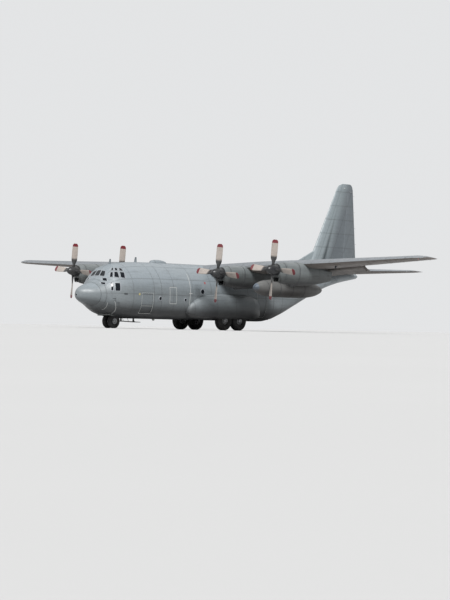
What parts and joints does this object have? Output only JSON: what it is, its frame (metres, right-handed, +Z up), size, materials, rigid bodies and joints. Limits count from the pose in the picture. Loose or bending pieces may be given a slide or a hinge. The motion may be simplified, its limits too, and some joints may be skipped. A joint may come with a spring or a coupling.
{
  "type": "military transport aeroplane",
  "caption": "High-wing turboprop military transport aeroplane on its landing gear, with turning propellers, flaps, control surfaces, doors and a cargo ramp.",
  "frame": {"origin": "on the ground under the middle of the bounding box", "axes": "+X to the left wing tip, +Y to the tail, +Z up"},
  "size_m": [20.205, 14.895, 5.83],
  "materials": {
    "skin_paint": "semi-matt blue-grey paint",
    "wing_paint": "semi-matt grey paint over aluminium",
    "radome_paint": "semi-matt grey",
    "dark_paint": "dark grey paint over aluminium",
    "prop_paint": "dark hub, pale blades with red tips",
    "gear_steel": "grey enamel and bare chrome",
    "wheel_metal": "grey cast alloy",
    "tyre": "black rubber",
    "window": "dark tinted glazing in frames",
    "floor_metal": "worn grey floor",
    "panel_plastic": "matt black",
    "seat_cloth": "dark cloth"
  },
  "bodies": {
    "airframe": {"aft_fuselage": "wing_paint", "cargo_floor": "floor_metal", "centre_fuselage": "skin_paint", "copilot_seat": "seat_cloth", "fin": "wing_paint", "flight_deck_floor": "floor_metal", "flight_deck_glazing": "window", "fuel_tank_left": "wing_paint", "fuel_tank_right": "wing_paint", "instrument_panel": "panel_plastic", "main_leg_left": "gear_steel", "main_leg_right": "gear_steel", "nacelle_inner_left": "skin_paint", "nacelle_inner_right": "skin_paint", "nacelle_outer_left": "skin_paint", "nacelle_outer_right": "skin_paint", "nose_gear_door": "dark_paint", "nose_leg": "gear_steel", "nose_section": "skin_paint", "paratroop_door_left": "skin_paint", "paratroop_door_right": "skin_paint", "pilot_seat": "seat_cloth", "radome": "radome_paint", "sponson_left": "skin_paint", "sponson_right": "skin_paint", "stabiliser": "wing_paint", "tail_cone": "wing_paint", "wing_centre": "wing_paint", "wing_outer_left": "wing_paint", "wing_outer_right": "wing_paint"},
    "propeller_inner_left": {"propeller_inner_left": "prop_paint"},
    "propeller_inner_right": {"propeller_inner_right": "prop_paint"},
    "propeller_outer_left": {"propeller_outer_left": "prop_paint"},
    "propeller_outer_right": {"propeller_outer_right": "prop_paint"},
    "nose_steer_fork": {"nose_steer_fork": "gear_steel"},
    "nose_wheels": {"nose_rims": "wheel_metal", "nose_tyre_left": "tyre", "nose_tyre_right": "tyre"},
    "main_wheel_front_left": {"main_tyre_front_left": "tyre", "main_rim_front_left": "wheel_metal"},
    "main_wheel_rear_left": {"main_tyre_rear_left": "tyre", "main_rim_rear_left": "wheel_metal"},
    "main_wheel_front_right": {"main_tyre_front_right": "tyre", "main_rim_front_right": "wheel_metal"},
    "main_wheel_rear_right": {"main_tyre_rear_right": "tyre", "main_rim_rear_right": "wheel_metal"},
    "flap_inner_left": {"flap_inner_left": "wing_paint"},
    "flap_inner_right": {"flap_inner_right": "wing_paint"},
    "flap_outer_left": {"flap_outer_left": "wing_paint"},
    "flap_outer_right": {"flap_outer_right": "wing_paint"},
    "aileron_left": {"aileron_left": "wing_paint"},
    "aileron_right": {"aileron_right": "wing_paint"},
    "elevators": {"elevator_left": "wing_paint", "elevator_right": "wing_paint"},
    "rudder": {"rudder": "wing_paint"},
    "crew_door": {"crew_door": "skin_paint"},
    "cargo_ramp": {"cargo_ramp": "dark_paint"},
    "aft_cargo_door": {"aft_cargo_door": "dark_paint"}
  },
  "joints": [
    {"name": "propeller_inner_left_spin", "type": "hinge", "parent": "airframe", "child": "propeller_inner_left", "pos_m": [2.47, -3.0475, 2], "axis": [0, 1, 0], "continuous": true},
    {"name": "propeller_inner_right_spin", "type": "hinge", "parent": "airframe", "child": "propeller_inner_right", "pos_m": [-2.47, -3.0475, 2], "axis": [0, 1, 0], "continuous": true},
    {"name": "propeller_outer_left_spin", "type": "hinge", "parent": "airframe", "child": "propeller_outer_left", "pos_m": [5.08, -3.0475, 2.11395], "axis": [0, 1, 0], "continuous": true},
    {"name": "propeller_outer_right_spin", "type": "hinge", "parent": "airframe", "child": "propeller_outer_right", "pos_m": [-5.08, -3.0475, 2.11395], "axis": [0, 1, 0], "continuous": true},
    {"name": "nose_steering", "type": "hinge", "parent": "airframe", "child": "nose_steer_fork", "pos_m": [0, -5.7975, 0.525], "axis": [0, 0, 1], "range_deg": [-60, 60]},
    {"name": "nose_wheels_roll", "type": "hinge", "parent": "nose_steer_fork", "child": "nose_wheels", "pos_m": [0, -5.7975, 0.2475], "axis": [1, 0, 0], "continuous": true},
    {"name": "main_wheel_front_left_roll", "type": "hinge", "parent": "airframe", "child": "main_wheel_front_left", "pos_m": [1.0875, -1.2875, 0.355], "axis": [1, 0, 0], "continuous": true},
    {"name": "main_wheel_rear_left_roll", "type": "hinge", "parent": "airframe", "child": "main_wheel_rear_left", "pos_m": [1.0875, -0.5275, 0.355], "axis": [1, 0, 0], "continuous": true},
    {"name": "main_wheel_front_right_roll", "type": "hinge", "parent": "airframe", "child": "main_wheel_front_right", "pos_m": [-1.0875, -1.2875, 0.355], "axis": [1, 0, 0], "continuous": true},
    {"name": "main_wheel_rear_right_roll", "type": "hinge", "parent": "airframe", "child": "main_wheel_rear_right", "pos_m": [-1.0875, -0.5275, 0.355], "axis": [1, 0, 0], "continuous": true},
    {"name": "flap_inner_left_travel", "type": "hinge", "parent": "airframe", "child": "flap_inner_left", "pos_m": [1.96145, -0.06626, 1.67913], "axis": [-0.9988, 0, -0.0494], "range_deg": [-20, 16]},
    {"name": "flap_inner_right_travel", "type": "hinge", "parent": "airframe", "child": "flap_inner_right", "pos_m": [-1.96145, -0.06626, 1.67913], "axis": [-0.9988, 0, 0.0494], "range_deg": [-20, 16]},
    {"name": "flap_outer_left_travel", "type": "hinge", "parent": "airframe", "child": "flap_outer_left", "pos_m": [4.79812, -0.23426, 1.81775], "axis": [-0.9954, 0.0835, -0.048], "range_deg": [-20, 16]},
    {"name": "flap_outer_right_travel", "type": "hinge", "parent": "airframe", "child": "flap_outer_right", "pos_m": [-4.79812, -0.23426, 1.81775], "axis": [-0.9954, -0.0835, 0.048], "range_deg": [-20, 16]},
    {"name": "aileron_left_hinge", "type": "hinge", "parent": "airframe", "child": "aileron_left", "pos_m": [8.325, -0.40103, 2.47846], "axis": [-0.9954, 0.0843, -0.0454], "range_deg": [-25, 15]},
    {"name": "aileron_right_hinge", "type": "hinge", "parent": "airframe", "child": "aileron_right", "pos_m": [-8.325, -0.40103, 2.47846], "axis": [-0.9954, -0.0843, 0.0454], "range_deg": [-25, 15]},
    {"name": "elevator_hinge", "type": "hinge", "parent": "airframe", "child": "elevators", "pos_m": [0, 6.2745, 2.36], "axis": [-1, 0, 0], "range_deg": [-40, 15]},
    {"name": "rudder_hinge", "type": "hinge", "parent": "airframe", "child": "rudder", "pos_m": [0, 6.60815, 4.1125], "axis": [0, 0.1016, 0.9948], "range_deg": [-35, 35]},
    {"name": "crew_door_hinge", "type": "hinge", "parent": "airframe", "child": "crew_door", "pos_m": [0.90541, -5.0675, 0.57], "axis": [0, 1, 0], "range_deg": [0, 100]},
    {"name": "cargo_ramp_hinge", "type": "hinge", "parent": "airframe", "child": "cargo_ramp", "pos_m": [0, 1.4875, 0.43], "axis": [-1, 0, 0], "range_deg": [0, 30]},
    {"name": "aft_cargo_door_hinge", "type": "hinge", "parent": "airframe", "child": "aft_cargo_door", "pos_m": [0, 4.2325, 1.49], "axis": [-1, 0, 0], "range_deg": [0, 40]}
  ]
}
